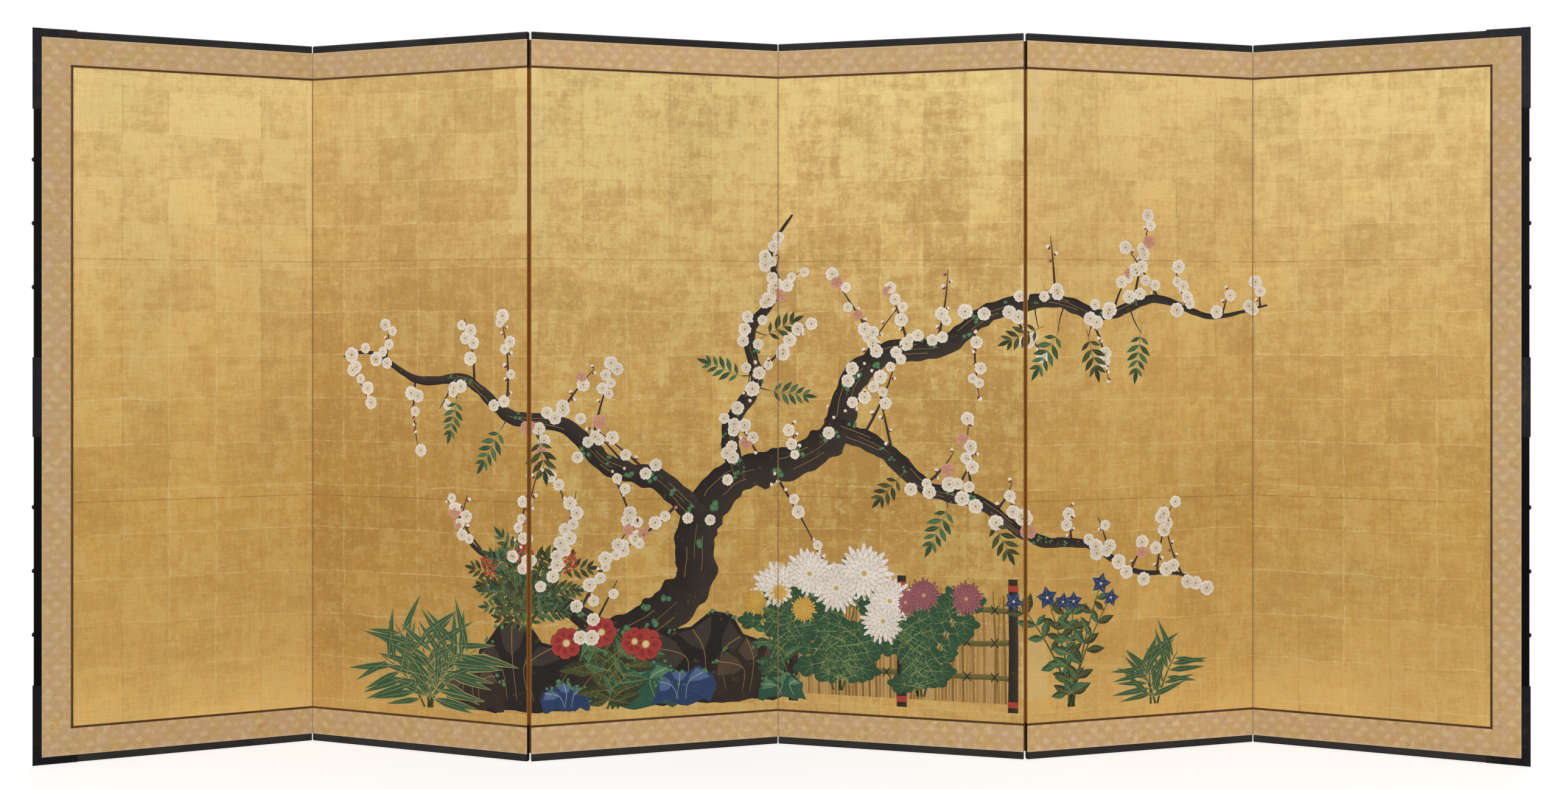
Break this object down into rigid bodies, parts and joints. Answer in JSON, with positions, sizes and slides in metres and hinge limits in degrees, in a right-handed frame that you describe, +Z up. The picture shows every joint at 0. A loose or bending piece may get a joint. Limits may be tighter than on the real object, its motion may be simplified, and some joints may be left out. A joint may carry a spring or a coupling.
{
  "type": "folding screen",
  "caption": "Standing folding screen of gold-leafed paper panels with brocade borders, black lacquer frame and paper hinges.",
  "frame": {"origin": "centre of the standing footprint's bounding box, on the floor", "axes": "+X to the viewer's right along the screen, -Y towards the viewer who faces the picture, +Z up"},
  "size_m": [3.5, 0.2792, 1.7225],
  "materials": {
    "cedar": "planed, unfinished, closed inside the panel",
    "underlay_paper": "laminated mulberry paper, matt",
    "hinge_paper": "thick mulberry paper, gold-brown, worn along the fold",
    "gold_leaf": "gold leaf on paper, satin, worn, painted with a plum tree and garden flowers",
    "dark_silk": "narrow woven strip, matt",
    "silk_brocade": "silk brocade with a small woven figure, soft sheen",
    "printed_back_paper": "dark paper block-printed with a small mica figure",
    "black_lacquer": "polished black lacquer on wood",
    "patinated_metal": "copper alloy, patinated nearly black, satin"
  },
  "bodies": {
    "panel_1": {"panel_1_lattice_core": "cedar", "panel_1_underlay": "underlay_paper", "panel_1_hinge_papers": "hinge_paper", "panel_1_gold_leaf_sheet": "gold_leaf", "panel_1_inner_border": "dark_silk", "panel_1_brocade_border": "silk_brocade", "panel_1_back_paper": "printed_back_paper", "panel_1_top_rail": "black_lacquer", "panel_1_bottom_rail": "black_lacquer", "left_stile": "black_lacquer", "left_stile_nails": "patinated_metal", "left_stile_fittings": "patinated_metal"},
    "panel_2": {"panel_2_lattice_core": "cedar", "panel_2_underlay": "underlay_paper", "panel_2_hinge_papers": "hinge_paper", "panel_2_gold_leaf_sheet": "gold_leaf", "panel_2_inner_border": "dark_silk", "panel_2_brocade_border": "silk_brocade", "panel_2_back_paper": "printed_back_paper", "panel_2_top_rail": "black_lacquer", "panel_2_bottom_rail": "black_lacquer"},
    "panel_3": {"panel_3_lattice_core": "cedar", "panel_3_underlay": "underlay_paper", "panel_3_hinge_papers": "hinge_paper", "panel_3_gold_leaf_sheet": "gold_leaf", "panel_3_inner_border": "dark_silk", "panel_3_brocade_border": "silk_brocade", "panel_3_back_paper": "printed_back_paper", "panel_3_top_rail": "black_lacquer", "panel_3_bottom_rail": "black_lacquer"},
    "panel_4": {"panel_4_lattice_core": "cedar", "panel_4_underlay": "underlay_paper", "panel_4_hinge_papers": "hinge_paper", "panel_4_gold_leaf_sheet": "gold_leaf", "panel_4_inner_border": "dark_silk", "panel_4_brocade_border": "silk_brocade", "panel_4_back_paper": "printed_back_paper", "panel_4_top_rail": "black_lacquer", "panel_4_bottom_rail": "black_lacquer"},
    "panel_5": {"panel_5_lattice_core": "cedar", "panel_5_underlay": "underlay_paper", "panel_5_hinge_papers": "hinge_paper", "panel_5_gold_leaf_sheet": "gold_leaf", "panel_5_inner_border": "dark_silk", "panel_5_brocade_border": "silk_brocade", "panel_5_back_paper": "printed_back_paper", "panel_5_top_rail": "black_lacquer", "panel_5_bottom_rail": "black_lacquer"},
    "panel_6": {"panel_6_lattice_core": "cedar", "panel_6_underlay": "underlay_paper", "panel_6_hinge_papers": "hinge_paper", "panel_6_gold_leaf_sheet": "gold_leaf", "panel_6_inner_border": "dark_silk", "panel_6_brocade_border": "silk_brocade", "panel_6_back_paper": "printed_back_paper", "panel_6_top_rail": "black_lacquer", "panel_6_bottom_rail": "black_lacquer", "right_stile": "black_lacquer", "right_stile_nails": "patinated_metal", "right_stile_fittings": "patinated_metal"}
  },
  "joints": [
    {"name": "fold_2_3", "type": "hinge", "parent": "panel_3", "child": "panel_2", "pos_m": [-0.59283, -0.0766, 0.86], "axis": [0, 0, -1], "range_deg": [-38.6, 141.4]},
    {"name": "fold_1_2", "type": "hinge", "parent": "panel_2", "child": "panel_1", "pos_m": [-1.16414, 0.1261, 0.86], "axis": [0, 0, 1], "range_deg": [-45, 135]},
    {"name": "fold_3_4", "type": "hinge", "parent": "panel_3", "child": "panel_4", "pos_m": [-0.01051, 0.09186, 0.86], "axis": [0, 0, -1], "range_deg": [-33.1, 146.9]},
    {"name": "fold_4_5", "type": "hinge", "parent": "panel_4", "child": "panel_5", "pos_m": [0.57759, -0.05515, 0.86], "axis": [0, 0, 1], "range_deg": [-32.8, 147.2]},
    {"name": "fold_5_6", "type": "hinge", "parent": "panel_5", "child": "panel_6", "pos_m": [1.16079, 0.11026, 0.86], "axis": [0, 0, -1], "range_deg": [-40.5, 139.5]}
  ]
}
